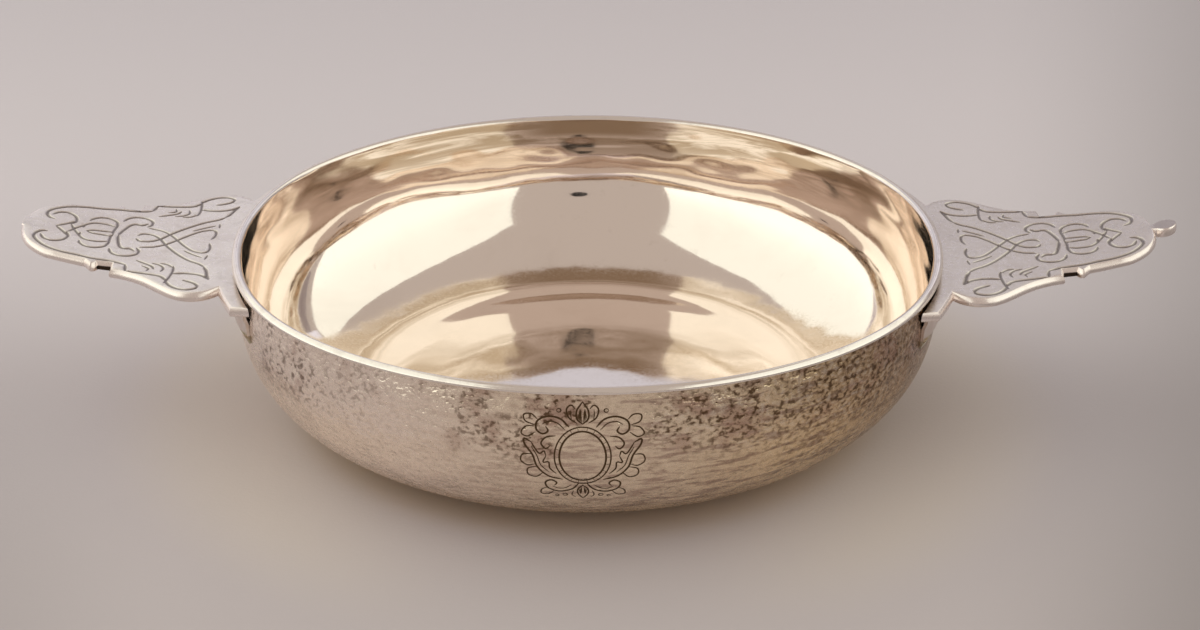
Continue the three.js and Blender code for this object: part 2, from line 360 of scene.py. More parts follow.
def paint_outside(nodes):
    """Pitted, stained silver, with painted reflected shade that makes it warmer and darker towards
    the right, painted highlights round its pits and a painted contact shadow at its foot.
    """
    place = place_of(nodes)
    x = nodes.axis(place, "X")
    z = nodes.axis(place, "Z")
    left = nodes.band(x, 0.0, -0.05)
    right = nodes.band(x, 0.0, 0.08)
    under_rim = nodes.band(z, 0.020, 0.036)

    # Pits lie in clusters under the rim, few of them on the left, and all over the right
    grains = nodes.noise(nodes.stretch(place, 700, 700, 900), 1.0, 2, 0.5, 0.2)
    cluster = nodes.band(nodes.noise(place, 48, 3, 0.6), 0.42, 0.56)
    by_side = nodes.band(left, 0, 1, 0.95, 0.38)
    by_side = nodes.most(by_side, nodes.band(x, -0.052, -0.066, 0.0, 0.75))
    high = nodes.times(cluster, nodes.band(under_rim, 0, 1, 0.12, 1.0), by_side)
    dots = nodes.times(nodes.band(right, 0.1, 0.8, 0, 0.95), nodes.band(x, 0.086, 0.066, 0.35, 1))
    dots = nodes.times(dots, nodes.band(under_rim, 0, 1, 0.4, 1.0))
    pitted = nodes.most(high, dots, 0.12)
    rosy = nodes.times(nodes.band(nodes.noise(place, 95, 3, 0.6), 0.50, 0.62), high, 0.6)

    # Stains are soft patches and fine level lines
    patches = nodes.band(nodes.noise(place, 55, 4, 0.6, 1.0), 0.42, 0.66)
    lines = nodes.noise(nodes.stretch(place, 110, 110, 760), 1.0, 3, 0.6, 0.4)
    lines = nodes.times(nodes.band(lines, 0.47, 0.62), nodes.band(x, -0.06, 0.02, 0.15, 1.0))
    stain = nodes.most(nodes.times(patches, 0.16), lines)
    stain = nodes.times(stain, nodes.band(left, 0, 1, 1.0, 0.4))

    # Painted reflected shade: the ground and its stains get darker and warmer towards the right,
    # most at the right end
    ground = nodes.mix(left, SKIN_MIDDLE, SKIN_LEFT)
    ground = nodes.mix(right, ground, nodes.mix(under_rim, SKIN_RIGHT_LOW_SHADE, SKIN_RIGHT_HIGH_SHADE))
    ground = nodes.mix(nodes.band(x, 0.045, 0.085, 0.0, 0.75), ground, SKIN_RIGHT_END_SHADE)
    worn_and_shaded = nodes.mix(stain, ground, nodes.mix(right, STAIN_LEFT, STAIN_RIGHT_SHADE))
    # Lighter rings round the pits are painted highlights
    worn_and_shaded = nodes.mix(nodes.times(nodes.band(grains, 0.48, 0.36), pitted, 0.35), worn_and_shaded, PIT_RING_HIGHLIGHT)
    worn_and_shaded = nodes.mix(rosy, worn_and_shaded, ROSY)
    worn_and_shaded = nodes.mix(nodes.times(nodes.band(grains, 0.48, 0.66), pitted), worn_and_shaded, PIT)
    # A brown band low on the wall near the floor is a painted contact shadow
    foot = nodes.times(nodes.band(z, 0.0078, 0.0050), nodes.band(nodes.length(place), 0.055, 0.066))
    worn_and_shaded = nodes.mix(foot, worn_and_shaded, FOOT_CONTACT_SHADOW)
    colour = nodes.mix(nodes.band(patina_and_shade_of(nodes), 0.0, 0.3), worn_and_shaded, BOWL_CUT)

    fine = nodes.noise(place, 900, 3, 0.6)
    normal = nodes.bump(grains, 0.7, -0.0005)
    normal = nodes.bump(fine, 0.12, 0.0004, normal)
    normal = nodes.bump(nodes.cells(place, 130, 0.6), 0.25, 0.0026, normal)
    return metal(colour, nodes.band(fine, 0.3, 0.75, 0.2, 0.34), normal)


def paint_rim(nodes):
    wear = nodes.noise(place_of(nodes), 300, 3, 0.6)
    colour = nodes.mix(nodes.band(wear, 0.5, 0.8, 0.0, 0.3), RIM_SILVER, VIOLET)
    rough = nodes.band(wear, 0.3, 0.8, 0.12, 0.24)
    return metal(colour, rough, nodes.bump(wear, 0.05, 0.0004))


def paint_ear(nodes):
    """Silver with violet clouds and scuffs, with painted shade on the right ear, and a darker knob.
    """
    place = place_of(nodes)
    x = nodes.axis(place, "X")
    cloud = nodes.noise(place, 55, 4, 0.6, 0.5)
    grain = nodes.noise(place, 900, 3, 0.65)
    scuffs = nodes.band(nodes.noise(place, 210, 3, 0.6, 0.5), 0.52, 0.7)
    worn_and_shaded = nodes.mix(nodes.band(cloud, 0.4, 0.75, 0.0, 0.4), EAR_SILVER, VIOLET)
    worn_and_shaded = nodes.mix(nodes.times(scuffs, 0.3), worn_and_shaded, EAR_SCUFF)
    # Painted shade darkens the right ear
    worn_and_shaded = nodes.mix(nodes.band(x, -0.05, 0.05, 0.0, 0.45), worn_and_shaded, EAR_RIGHT_SHADE)
    worn_and_shaded = nodes.mix(nodes.band(x, 0.1415, 0.1435, 0.0, 0.7), worn_and_shaded, KNOB_TOP)
    colour = nodes.mix(nodes.band(patina_and_shade_of(nodes), 0.1, 0.75), worn_and_shaded, EAR_CUT)
    rough = nodes.band(grain, 0.3, 0.8, 0.26, 0.42)
    return metal(colour, rough, nodes.bump(grain, 0.10, 0.0003))


def paint_ear_edge(nodes):
    wear = nodes.noise(place_of(nodes), 260, 3, 0.6)
    worn_and_shaded = nodes.mix(nodes.band(wear, 0.5, 0.8, 0.0, 0.4), EDGE_SILVER, VIOLET)
    # The nick's painted shadow darkens the edge at the nick
    colour = nodes.mix(nodes.band(patina_and_shade_of(nodes), 0.3, 0.8), worn_and_shaded, NICK_SHADOW)
    rough = nodes.band(wear, 0.3, 0.8, 0.22, 0.34)
    return metal(colour, rough, nodes.bump(wear, 0.05, 0.0004))


def paint_flange(nodes):
    cloud = nodes.noise(place_of(nodes), 120, 4, 0.6, 0.5)
    colour = nodes.mix(nodes.band(cloud, 0.35, 0.7), FLANGE_PALE, FLANGE_DARK)
    return metal(colour, 0.36, nodes.bump(cloud, 0.2, 0.0005))


def paint_solder(nodes):
    lumps = nodes.noise(place_of(nodes), 420, 3, 0.6, 0.4)
    colour = nodes.mix(nodes.band(lumps, 0.4, 0.7), SOLDER_GREY, TARNISH)
    return metal(colour, 0.5, nodes.bump(lumps, 0.5, 0.0005))


INSIDE = material("silver_inside", paint_inside)
OUTSIDE = material("silver_outside", paint_outside)
RIM = material("silver_rim", paint_rim)
EAR = material("silver_ear", paint_ear)
EAR_EDGE = material("silver_ear_edge", paint_ear_edge)
FLANGE = material("silver_flange", paint_flange)
SOLDER = material("solder", paint_solder)


# Mesh helpers


def mesh_object(name, points, faces, materials, face_materials=None, sharp_angle=None):
    """An object from points in millimetres and faces as lists of point numbers."""
    mesh = bpy.data.meshes.new(name)
    mesh.from_pydata((np.asarray(points, float) * MM).tolist(), [], faces)
    for item in materials:
        mesh.materials.append(item)
    if face_materials is not None:
        mesh.polygons.foreach_set("material_index", face_materials)
    mesh.shade_smooth()
    if sharp_angle is not None:
        mesh.set_sharp_from_angle(angle=math.radians(sharp_angle))
    mesh.update()
    made = bpy.data.objects.new(name, mesh)
    bpy.context.scene.collection.objects.link(made)
    return made


def dress(made, node):
    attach(made, "root")
    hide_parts(node)


def turned_grid(rows):
    """A profile's [radius, height] rows turned round the Z axis, row by row."""
    angle = np.arange(TURN_STEPS) * (2 * math.pi / TURN_STEPS)
    rows = np.asarray(rows, float)
    x = rows[:, :1] * np.cos(angle)
    y = rows[:, :1] * np.sin(angle)
    z = np.repeat(rows[:, 1:], TURN_STEPS, axis=1)
    return np.stack([x, y, z], axis=2).reshape(-1, 3)


def quads(low, high, count):
    """Quads between two closed rows of points, by the number of each row's first point."""
    after = [(i + 1) % count for i in range(count)]
    return [(low + i, low + j, high + j, high + i) for i, j in enumerate(after)]


# The bowl

OUTSIDE_SLOT, INSIDE_SLOT, LIP_SLOT = 0, 1, 2


def belly_rows(foot, widest, exponent, steps):
    angle = np.linspace(0, math.pi / 2, steps + 1)
    out = np.sin(angle) ** (2 / exponent)
    up = 1 - np.cos(angle) ** (2 / exponent)
    radius = foot[0] + (widest[0] - foot[0]) * out
    return list(zip(radius, foot[1] + (widest[1] - foot[1]) * up))


def neck_rows(widest, top, steps):
    rise = np.linspace(0, 1, steps + 1)[1:]
    radius = widest[0] - (widest[0] - top[0]) * rise**1.5
    return list(zip(radius, widest[1] + (top[1] - widest[1]) * rise))


def bowl_rows():
    """Rows of the bowl from the base's middle up the outside and down the inside."""
    inside_radius = WALL_RADIUS - WALL
    widest = (WALL_RADIUS + BELLY_BULGE, BELLY_HEIGHT)
    inside_foot = (FLOOR_RADIUS, FLOOR_THICKNESS + FLOOR_RISE)
    inside_widest = (inside_radius + INSIDE_BULGE, INSIDE_BELLY_HEIGHT)
    base = [(r, 0.0) for r in np.linspace(0.5, BASE_RADIUS - 1, 24)]
    outside = base + belly_rows((BASE_RADIUS, 0.0), widest, BELLY_EXPONENT, 70)
    outside += neck_rows(widest, (WALL_RADIUS, LIP_FOOT), 8)
    outside.append((WALL_RADIUS, BOWL_HEIGHT - 1.0))
    top = [(WALL_RADIUS, BOWL_HEIGHT - 0.02)]
    for step in range(8):
        turn_share = step / 8 * math.pi / 2
        radius = inside_radius + LIP_ROUND[0] * (1 - math.sin(turn_share))
        top.append((radius, BOWL_HEIGHT - LIP_ROUND[1] * (1 - math.cos(turn_share))))
    lip = (inside_radius, BOWL_HEIGHT - LIP_ROUND[1])
    inside = neck_rows(inside_widest, lip, 24)[::-1]
    inside += belly_rows(inside_foot, inside_widest, INSIDE_EXPONENT, 100)[::-1]
    share = np.linspace(0, 1, 50)
    rise = FLOOR_RISE * np.sin(math.pi / 2 * share) ** 2
    floor = list(zip(np.maximum(0.5, share * FLOOR_RADIUS), FLOOR_THICKNESS + rise))
    inside += floor[:-1][::-1]
    inside = [(r, z + floor_lift(r) * (z < 30)) for r, z in inside]
    return outside, top, inside


def build_bowl():
    """The beaten bowl, with an engraved patch in its front."""
    outside, top, inside = bowl_rows()
    rows = outside + top + inside
    points = turned_grid(rows)
    inner_row = len(outside) + len(top)
    inner = points[inner_row * TURN_STEPS :]
    inner[:] = pushed_out(inner, wall_shift(angle_of(inner), inner[:, 2]))
    inner[:, 2] -= floor_tilt(inner)
    heights = [row[1] for row in outside]
    low_row = next(i for i, z in enumerate(heights) if z > CARTOUCHE_FOOT)
    top_row = max(i for i, z in enumerate(heights) if z < LIP_FOOT + 0.01)
    middle = round(CARTOUCHE_ANGLE / (2 * math.pi) * TURN_STEPS)
    first, final = middle - CARTOUCHE_COLUMNS, middle + CARTOUCHE_COLUMNS
    faces, kinds = [], []
    for row in range(len(rows) - 1):
        kind = LIP_SLOT
        if row < len(outside) - 1:
            kind = OUTSIDE_SLOT
        elif row >= inner_row:
            kind = INSIDE_SLOT
        ring = quads(row * TURN_STEPS, (row + 1) * TURN_STEPS, TURN_STEPS)
        if low_row <= row < top_row:
            ring = ring[:first] + ring[final:]
        faces += ring
        kinds += [kind] * len(ring)
    last_row = len(points) - TURN_STEPS
    ends = [[0, 0, rows[0][1]], [0, 0, points[last_row:, 2].mean()]]
    for column in range(TURN_STEPS):
        after = (column + 1) % TURN_STEPS
        faces.append((len(points), after, column))
        faces.append((last_row + column, last_row + after, len(points) + 1))
        kinds += [OUTSIDE_SLOT, INSIDE_SLOT]
    patch_rows = outside[low_row : top_row + 1]
    patch, patch_faces, patch_share = cartouche_patch(patch_rows, first, final)
    start = len(points) + len(ends)
    faces += [[start + i for i in face] for face in patch_faces]
    kinds += [OUTSIDE_SLOT] * len(patch_faces)
    points = beaten(np.vstack([points, ends, patch]))
    made = mesh_object("bowl_skin", points, faces, [OUTSIDE, INSIDE, RIM], kinds)
    set_patina_and_shade(made, np.concatenate([np.zeros(start), patch_share]))
    weld(made)
    dress(made, "bowl")


# The wire's section, as [distance out of the wall, height above the wire's foot]
RIM_WIRE_SECTION = (
    (0.02, 0.1), (0.35, 0.02), (0.7, 0.0), (0.93, 0.08), (1.06, 0.22), (1.1, 0.42), (1.08, 0.62),
    (1.0, 0.82), (0.84, 1.03), (0.6, 1.22), (0.3, 1.36), (0.02, 1.4),
)


def build_rim_wire():
    foot = BOWL_HEIGHT - RIM_WIRE_HEIGHT
    rows = [(WALL_RADIUS + out, foot + up) for out, up in RIM_WIRE_SECTION]
    points = beaten(turned_grid(rows))
    faces = []
    for row in range(len(rows)):
        faces += quads(row * TURN_STEPS, (row + 1) % len(rows) * TURN_STEPS, TURN_STEPS)
    made = mesh_object("rim_wire_skin", points, faces, [RIM], sharp_angle=50)
    dress(made, "rim_wire")


# Engraving. A stroke is [half width, point, point...]. A cut is the smooth line through a stroke's
# points, with its half width at each of them

LINE_STEP = 0.35
CUT_SLOPE = 0.45


def smooth_line(points):
    """Even samples of a smooth line through points."""
    points = np.asarray(points, float)
    if len(points) > 2:
        padded = np.vstack([2 * points[0] - points[1], points, 2 * points[-1] - points[-2]])
        share = np.linspace(0, 1, 9)[:-1, None]
        pieces = []
        for a, b, c, d in zip(padded, padded[1:], padded[2:], padded[3:]):
            curve = 2 * b + (c - a) * share + (2 * a - 5 * b + 4 * c - d) * share**2
            pieces.append((curve + (3 * b - a - 3 * c + d) * share**3) / 2)
        points = np.vstack([*pieces, points[-1:]])
    length = np.concatenate([[0], np.cumsum(np.hypot(*np.diff(points, axis=0).T))])
    count = max(2, round(length[-1] / LINE_STEP) + 1)
    even = np.linspace(0, length[-1], count)
    return np.stack([np.interp(even, length, points[:, i]) for i in range(2)], axis=1)


def stroke_shape(points, half_width):
    """The centre line of one cut with the cut's half width at each of its points."""
    line = smooth_line(points)
    along = np.concatenate([[0], np.cumsum(np.hypot(*np.diff(line, axis=0).T))])
    end = np.minimum(along, along[-1] - along)
    return line, half_width * (0.45 + 0.55 * np.clip(end / 1.3, 0, 1) ** 0.7)


def stroke_edge(line, width):
    """The closed edge round one cut."""
    ahead = np.gradient(line, axis=0)
    ahead /= np.hypot(*ahead.T)[:, None]
    side = np.stack([-ahead[:, 1], ahead[:, 0]], axis=1) * width[:, None]
    first = line[:1] - ahead[:1] * width[0]
    last = line[-1:] + ahead[-1:] * width[-1]
    return np.vstack([first, line + side, last, (line - side)[::-1]])


def cut_depth(points, strokes):
    """Depth of the V-shaped cuts at points, and 0 to 1 from a cut's edge to its middle."""
    deepest = np.zeros(len(points))
    share = np.zeros(len(points))
    for line, width in strokes:
        reach = width.max() * 1.05
        near = np.all((points > line.min(0) - reach) & (points < line.max(0) + reach), axis=1)
        ids = np.nonzero(near)[0]
        if not len(ids):
            continue
        start, run = line[:-1], np.diff(line, axis=0)
        away = points[ids][:, None] - start
        place = np.clip((away * run).sum(2) / (run**2).sum(1), 0, 1)
        distance = np.hypot(*np.moveaxis(away - place[..., None] * run, 2, 0))
        local = width[:-1] + place * np.diff(width)
        level = np.clip(1 - distance / local, 0, 1)
        best = level.argmax(axis=1)
        picked = np.arange(len(ids)), best
        deepest[ids] = np.maximum(deepest[ids], level[picked] * local[picked] * CUT_SLOPE)
        share[ids] = np.maximum(share[ids], level[picked])
    return deepest, share


def inside_polygon(points, polygon):
    x, y = points[:, :1], points[:, 1:]
    ax, ay = polygon.T
    bx, by = np.roll(polygon, -1, axis=0).T
    crosses = (ay > y) != (by > y)
    reach = (bx - ax) * (y - ay) / np.where(by == ay, 1e-9, by - ay) + ax
    return (crosses & (x < reach)).sum(axis=1) % 2 == 1


def engraved_sheet(outline, strokes, spacing):
    """Triangles that fill an outline, with edges along each cut's rim and middle."""
    low, high = outline.min(0), outline.max(0)
    xs = np.arange(low[0] + spacing / 2, high[0], spacing)
    ys = np.arange(low[1] + spacing / 2, high[1], spacing)
    grid = np.stack(np.meshgrid(xs, ys), axis=2).reshape(-1, 2)
    edges_of = [stroke_edge(*stroke) for stroke in strokes]
    keep = inside_polygon(grid, outline)
    clear = np.full(len(grid), np.inf)
    for ring in [outline, *edges_of]:
        for part in np.array_split(ring, max(1, len(ring) // 40)):
            gap = np.hypot(*(grid[:, None] - part).transpose(2, 0, 1)).min(axis=1)
            clear = np.minimum(clear, gap)
    points = [Vector(p) for p in outline]
    edges = []
    for ring in edges_of:
        start = len(points)
        points += [Vector(p) for p in ring]
        count = len(ring)
        edges += [(start + i, start + (i + 1) % count) for i in range(count)]
    for line, _ in strokes:
        start = len(points)
        points += [Vector(p) for p in line]
        edges += [(start + i, start + i + 1) for i in range(len(line) - 1)]
    points += [Vector(p) for p in grid[keep & (clear > spacing * 0.45)]]
    face = list(range(len(outline)))
    made = delaunay_2d_cdt(points, edges, [face], 1, 1e-4, True)
    flat = np.array([tuple(p) for p in made[0]])
    faces = np.array([list(f) for f in made[2]])
    kept = inside_polygon(flat[faces].mean(axis=1), outline)
    return flat, faces[kept].tolist()


def cuts(strokes, scale):
    """The cuts of some strokes and of their mirror images across the first axis."""
    made = []
    for width, *points in strokes:
        made.append(stroke_shape(points, scale * width))
        if any(abs(y) > 1e-6 for _, y in points):
            made.append(stroke_shape([(x, -y) for x, y in points], scale * width))
    return made


def set_patina_and_shade(made, shares):
    """Marks each point's depth in a cut, from 0 to 1; on an ear it also marks the nick's painted
    shadow.
    """
    layer = made.data.attributes.new("patina_and_shade", "FLOAT", "POINT")
    layer.data.foreach_set("value", np.asarray(shares, float))


# The engraved cartouche on the front: a blank oval among scrolls and leaves. The points of its
# strokes are [up, aside] from its middle

CARTOUCHE_ANGLE = math.radians(270.5)
CARTOUCHE_COLUMNS = 22
CARTOUCHE_FOOT = 11.5
CARTOUCHE_HALF_HEIGHT = 14.3
CARTOUCHE_CUT_WIDTH = 1.6


def oval(high, wide, centre=(0.0, 0.0), start=-102, stop=102, step=12):
    ring = []
    for degrees in range(start, stop + 1, step):
        turn = math.radians(degrees)
        ring.append((centre[0] + high * math.sin(turn), centre[1] + wide * math.cos(turn)))
    return ring


CARTOUCHE_HALF = [
    (0.17, *oval(6.8, 5.2)),
    (0.13, *oval(7.9, 6.3)),
    (0.15, (8.6, -0.1), (9.8, 1.2), (11.8, 1.3), (13.2, 0.5), (14.0, 0.0)),
    (0.14, (8.9, 1.3), (10.2, 3.0), (12.2, 3.5), (13.2, 2.5), (12.3, 1.6)),
    (0.1, (9.6, 2.4), (11.0, 2.6), (12.2, 2.5)),
    (
        0.17, (7.9, 3.0), (9.9, 4.9), (10.4, 7.6), (9.2, 9.9), (7.1, 10.2), (6.0, 8.8), (6.8, 7.6),
        (7.9, 8.1),
    ),
    (0.11, (7.2, 3.9), (8.8, 5.5), (9.2, 7.4), (8.4, 8.9)),
    (0.15, (5.6, 6.0), (5.2, 8.0), (3.6, 9.2), (2.2, 8.2), (3.0, 7.2)),
    (0.13, (9.6, 9.9), (10.8, 11.2), (10.6, 12.9), (9.0, 12.6), (8.2, 10.6)),
    (0.13, (8.0, 10.8), (7.6, 12.6), (6.0, 13.6), (5.2, 12.2), (6.4, 10.4)),
    (
        0.17, (-6.6, 4.6), (-5.6, 7.8), (-3.0, 10.2), (0.4, 11.2), (3.0, 12.8), (4.6, 13.0),
        (3.8, 11.4),
    ),
    (0.14, (3.8, 11.4), (2.2, 10.6), (0.8, 9.6), (1.6, 8.6), (0.2, 8.2)),
    (0.14, (0.2, 8.2), (-1.6, 8.9), (-1.4, 7.6), (-3.2, 7.4), (-4.8, 6.0)),
    (0.13, (0.6, 11.4), (0.4, 13.4), (-1.4, 13.9), (-2.6, 12.4), (-2.2, 10.8)),
    (0.13, (-2.9, 10.5), (-3.6, 12.4), (-5.4, 12.4), (-6.0, 10.6), (-4.6, 9.0)),
    (0.1, (-4.4, 7.6), (-2.4, 9.4), (0.2, 10.2), (2.6, 11.4)),
    (
        0.17, (-7.8, 0.9), (-10.0, 2.6), (-10.9, 5.4), (-9.8, 8.0), (-7.8, 8.6), (-6.9, 7.2),
        (-7.8, 6.0), (-8.8, 6.6),
    ),
    (0.11, (-8.4, 2.6), (-9.6, 4.2), (-9.7, 5.8), (-9.0, 7.0)),
    (0.15, (-8.4, -0.1), (-9.8, 1.1), (-11.6, 1.2), (-13.0, 0.5), (-13.8, 0.0)),
    (0.12, (-10.6, 2.2), (-12.2, 2.6), (-13.2, 1.8)),
    (0.13, (-10.8, 6.8), (-12.2, 8.2), (-12.0, 9.8), (-10.4, 9.6), (-9.6, 8.3)),
    (0.12, *oval(0.5, 0.55, (-12.2, 4.2), 0, 360, 40)),
    (0.11, *oval(0.4, 0.45, (-12.6, 6.1), 0, 360, 40)),
    (0.12, *oval(0.45, 0.5, (11.9, 5.2), 0, 360, 40)),
]


def cartouche_strokes():
    half = list(CARTOUCHE_HALF)
    for degrees in range(-80, 81, 16):
        turn = math.radians(degrees)
        near = (7.0 * math.sin(turn), 5.4 * math.cos(turn))
        far = (7.7 * math.sin(turn), 6.1 * math.cos(turn))
        half.append((0.08, near, far))
    for share in (0.0, 0.25, 0.5, 0.75):
        half.append((0.08, (8.9 + share, 0.25 + share), (11.6 + share, 0.3 + 0.3 * share)))
        half.append((0.08, (-8.9 - share, 0.25 + share), (-11.2 - share, 0.3 + 0.3 * share)))
    return cuts(half, CARTOUCHE_CUT_WIDTH)


def cartouche_patch(rows, first, final):
    """Engraved triangles in place of the wall's quads between two rows and two columns."""
    rows = np.array(rows)
    along = np.concatenate([[0], np.cumsum(np.hypot(*np.diff(rows, axis=0).T))])
    middle = (first + final) / 2
    scale = 2 * math.pi / TURN_STEPS * wall_radius_at(30.0)
    aside = (np.arange(first, final + 1) - middle) * scale
    up = along - along[-1] + CARTOUCHE_HALF_HEIGHT
    border = [(up[0], a) for a in aside]
    border += [(u, aside[-1]) for u in up[1:]]
    border += [(up[-1], a) for a in aside[::-1][1:]]
    border += [(u, aside[0]) for u in up[::-1][1:-1]]
    strokes = cartouche_strokes()
    flat, faces = engraved_sheet(np.array(border)[::-1], strokes, 0.8)
    depth, share = cut_depth(flat, strokes)
    height = np.interp(flat[:, 0], up, rows[:, 1])
    radius = np.array([wall_radius_at(z) for z in height])
    lean = np.array([wall_radius_at(z + 0.05) for z in height]) - radius
    run = np.hypot(lean, 0.05)
    radius = radius - depth * 0.05 / run
    height = height + depth * lean / run
    angle = (flat[:, 1] / scale + middle) * 2 * math.pi / TURN_STEPS
    points = np.column_stack([radius * np.cos(angle), radius * np.sin(angle), height])
    return points, faces, share


# The ears


def quad_to(path, control, point, steps=14):
    start = path[-1]
    for t in np.linspace(0, 1, steps + 1)[1:]:
        a, b, c = (1 - t) ** 2, 2 * t * (1 - t), t**2
        path.append(tuple(a * s + b * k + c * p for s, k, p in zip(start, control, point)))


def cubic_to(path, first, second, point):
    start = path[-1]
    for t in np.linspace(0, 1, 31)[1:]:
        weights = (1 - t) ** 3, 3 * t * (1 - t) ** 2, 3 * t**2 * (1 - t), t**3
        corners = start, first, second, point
        path.append(tuple(sum(w * c[i] for w, c in zip(weights, corners)) for i in range(2)))


def arc_to(path, centre, radius, start, stop, steps):
    for angle in np.linspace(start, stop, steps + 1):
        path.append((centre + radius * math.cos(angle), radius * math.sin(angle)))


def standoff(angle):
    """The CAD's gap between the wall and a flange, by angle from the ear's middle."""
    return SEAT_GAP + 0.5 * CORNER_GAP * (angle / ROOT_ANGLE) ** 4


def ear_gap(angle):
    """The gap between the wall and an ear's inner edge."""
    return 0.15 + 0.25 * (angle / ROOT_ANGLE) ** 6


def ear_outline(has_knob):
    """The ear's closed outline in plan, anticlockwise."""
    corner = ROOT_ANGLE
    for _ in range(5):
        corner = math.asin(ROOT_HALF_WIDTH / (SEAT_RADIUS + ear_gap(corner)))
    seat = SEAT_RADIUS + ear_gap(corner)
    path = [(seat * math.cos(corner), ROOT_HALF_WIDTH)]
    root = WALL_RADIUS + 5.1
    arc_to(path, 0, root, math.asin(ROOT_HALF_WIDTH / root), math.asin(29.3 / root), 24)
    quad_to(path, (91.9, 32.8), (95.9, 32.8))
    cubic_to(path, (103.64, 32.8), (106.65, 22.3), (117.4, 21.7))
    path += [(117.8, 17.8), (120.8, 17.8)]
    quad_to(path, (121.2, 19.6), (122.6, 19.6), 8)
    path += [(124.4 + 10 * share, 17.4 - 1.7 * share) for share in (0, 0.25, 0.5, 0.75, 1)]
    quad_to(path, (141.2, 12.5), (EAR_END, 5.4))
    if has_knob:
        path.append((EAR_END + 0.3, 1.89))
        arc_to(path, EAR_END + 3, 2.92, math.pi - math.asin(0.647), math.pi / 24, 18)
    else:
        quad_to(path, (EAR_END + 0.7, 2.7), (EAR_END + 0.7, 0.2), 8)
    lower = [(x, -y) for x, y in path[::-1]]
    inner = []
    for angle in np.linspace(-corner, corner, 61)[1:-1]:
        radius = SEAT_RADIUS + ear_gap(angle)
        inner.append((radius * math.cos(angle), radius * math.sin(angle)))
    return np.array(path + lower + inner)[::-1]


def inset_ring(outline, distance):
    """The outline moved inward, with mitred corners."""
    before = outline - np.roll(outline, 1, axis=0)
    after = np.roll(outline, -1, axis=0) - outline
    before /= np.hypot(*before.T)[:, None]
    after /= np.hypot(*after.T)[:, None]
    normal = np.stack([-(before + after)[:, 1], (before + after)[:, 0]], axis=1)
    normal /= np.hypot(*normal.T)[:, None]
    lean = normal[:, 0] * -after[:, 1] + normal[:, 1] * after[:, 0]
    return outline + normal * (distance / np.clip(lean, 0.5, 1))[:, None]


def ear_top(x):
    along = np.maximum(0, (x - LEVEL_X) / (EAR_END - LEVEL_X))
    return EAR_ROOT_TOP + EAR_TIP_RISE * along**2


# The ears' strapwork. The points of its strokes are [distance from the bowl's axis, aside]
EAR_HALF = [
    (0.33, (102.6, 25.3), (104.4, 22.9), (108, 22.0), (113.4, 21.3)),
    (0.33, (113.4, 21.4), (113.8, 19.2), (114.1, 17.6)),
    (
        0.34, (114.1, 17.6), (116.6, 16.6), (119.5, 16.2), (122.6, 16.0), (126.3, 15.2),
        (130.5, 14.6), (134.5, 13.1), (137.2, 10.8), (138.7, 8.3), (138.6, 6.0), (137.6, 4.5),
        (136.2, 4.0),
    ),
    (0.28, (102.9, 26.8), (102.5, 25.0), (102.2, 22.8), (102.0, 19.5), (102.3, 16.6)),
    (0.33, (102.8, 25.4), (101.4, 27.8), (99.2, 29.6), (96.8, 30.2), (94.9, 29.4), (94.3, 27.8)),
    (0.33, (94.3, 28.4), (95.2, 26.6), (97.0, 25.3), (98.6, 24.6)),
    (0.33, (101.9, 21.0), (99.0, 20.5), (96.2, 20.8), (94.0, 21.9), (92.4, 23.8)),
    (0.33, (92.4, 24.0), (93.2, 21.5), (93.9, 18.5), (94.9, 16.2)),
    (
        0.3, (94.9, 16.2), (96.4, 14.4), (99.6, 12.2), (103.0, 8.6), (106.0, 4.6), (107.5, 2.1),
        (109.0, -0.4), (111.0, -2.1), (113.5, -2.3), (114.7, -0.9),
    ),
    (
        0.28, (96.0, 1.3), (95.4, 4.0), (95.7, 6.6), (97.0, 7.4), (99.6, 6.2), (102.2, 3.2),
        (104.4, 0.0), (106.8, -3.2), (109.4, -5.3), (112.8, -6.3),
    ),
    (
        0.31, (113.4, 6.8), (112.5, 8.7), (112.9, 10.9), (114.7, 12.3), (117.2, 12.4),
        (119.1, 11.0), (119.9, 8.8),
    ),
    (
        0.33, (113.6, 9.0), (114.8, 7.7), (116.4, 7.9), (117.6, 7.0), (118.5, 4.4),
        (119.2, 1.4), (119.3, 0.0),
    ),
    (0.3, (120.6, 6.5), (120.9, 3.6), (121.0, 1.4), (120.7, 0.0)),
    (0.28, (121.2, 4.8), (123.4, 5.6), (126.4, 5.4), (128.4, 3.6), (128.6, 1.6)),
    (0.3, (120.8, 5.2), (121.3, 7.9), (123.2, 9.4), (125.6, 9.4), (127.4, 7.9), (127.9, 6.4)),
    (0.28, (121.2, 1.3), (123.4, 1.1), (125.8, 0.9), (127.4, 0.0)),
    (0.28, (127.8, 4.4), (130.2, 0.7), (131.7, -2.4)),
    (0.32, (131.8, 2.6), (131.0, 5.0), (131.9, 7.8), (134.1, 9.2), (136.3, 8.4), (137.4, 6.4)),
    (0.3, (131.0, 4.8), (132.6, 2.7), (134.2, 0.9), (135.0, 0.0)),
    (0.26, (102.4, 17.2), (104.0, 15.6), (105.8, 15.2)),
    (0.26, (104.9, 20.2), (104.6, 18.0), (105.8, 16.2), (107.8, 15.4)),
    (0.28, (106.8, 19.0), (107.6, 17.2), (109.6, 15.8), (111.9, 14.4)),
    (0.24, (108.4, 20.4), (108.2, 18.6), (110.0, 17.4)),
    (0.24, (96.4, 10.4), (99.0, 8.6), (101.6, 6.4)),
    (0.24, (95.5, 11.6), (95.2, 9.0)),
]
EAR_CUT_WIDTH = 2.0
